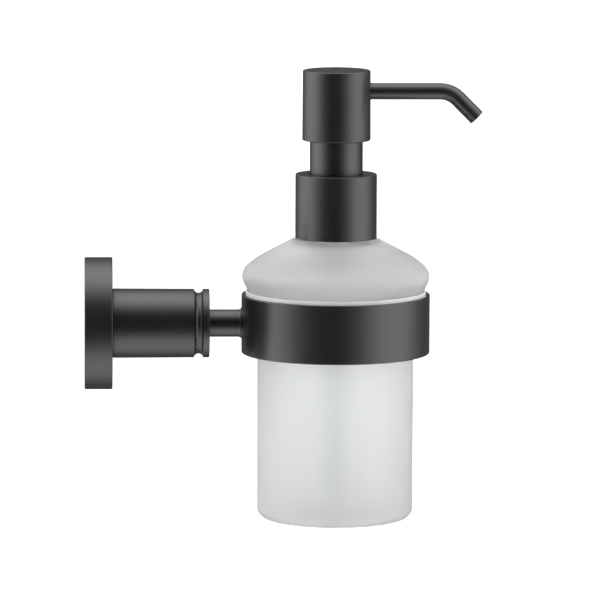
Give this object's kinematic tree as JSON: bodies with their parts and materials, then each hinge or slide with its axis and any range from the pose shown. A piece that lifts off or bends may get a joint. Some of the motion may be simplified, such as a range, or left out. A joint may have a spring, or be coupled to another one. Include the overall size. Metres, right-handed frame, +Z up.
{
  "type": "wall mounted soap dispenser",
  "caption": "Wall-mounted soap dispenser: round rosette and arm hold a ring with a lift-out frosted glass bottle, topped by a screw-on push pump with a swivelling bent spout.",
  "frame": {"origin": "centre of the wall bracket's back face, on the wall, on the arm's axis", "axes": "+X away from the wall along the arm, +Z up, so +Y is along the wall"},
  "size_m": [0.1501, 0.0712, 0.1704],
  "materials": {
    "black": "satin",
    "frosted_glass": "matte",
    "clear_plastic": "matte",
    "white_plastic": "matte",
    "steel": "satin",
    "rubber": "matte"
  },
  "bodies": {
    "mount": {"wall_bracket": "steel", "rosette": "black", "clamp_screw": "steel", "lock_washer": "steel", "boss_screw": "steel", "boss": "black", "arm_rod": "black", "holder_ring": "black", "ring_screw": "steel", "ring_liner": "clear_plastic"},
    "bottle": {"bottle": "frosted_glass"},
    "pump": {"neck_gasket": "rubber", "pump_housing": "white_plastic", "housing_retainer": "white_plastic", "dip_tube": "clear_plastic", "inlet_cage": "white_plastic", "return_spring": "steel"},
    "collar": {"collar_shell": "black", "closure_cap": "white_plastic"},
    "inlet_ball": {"inlet_ball": "steel"},
    "plunger": {"piston": "white_plastic"},
    "head": {"stem": "white_plastic", "head_core": "white_plastic", "sleeve": "black", "head_shell": "black", "spout": "black", "spout_tip": "black"},
    "outlet_ball": {"outlet_ball": "steel"}
  },
  "joints": [
    {"name": "bottle_lift", "type": "slide", "parent": "mount", "child": "bottle", "axis": [0, 0, 1], "range_m": [0, 0.09]},
    {"name": "pump_rise", "type": "slide", "parent": "bottle", "child": "pump", "axis": [0, 0, 1], "range_m": [0, 0.0072]},
    {"name": "collar_unscrew", "type": "hinge", "parent": "pump", "child": "collar", "pos_m": [0.09501, 0, 0.04099], "axis": [0, 0, 1], "range_deg": [0, 846]},
    {"name": "inlet_ball_lift", "type": "slide", "parent": "pump", "child": "inlet_ball", "axis": [0, 0, 1], "range_m": [0, 0.0015]},
    {"name": "pump_stroke", "type": "slide", "parent": "pump", "child": "plunger", "axis": [0, 0, -1], "range_m": [0, 0.0115], "stiffness_N_per_m": 600, "springref_m": -0.008, "deforming": ["return_spring"]},
    {"name": "head_swivel", "type": "hinge", "parent": "plunger", "child": "head", "pos_m": [0.09501, 0, 0.06959], "axis": [0, 0, 1], "continuous": true},
    {"name": "outlet_ball_lift", "type": "slide", "parent": "head", "child": "outlet_ball", "axis": [0, 0, 1], "range_m": [0, 0.001]}
  ],
  "couplings": [
    {"joint": "pump_rise", "follows": "collar_unscrew", "m_per_rad": 0.00047746}
  ]
}
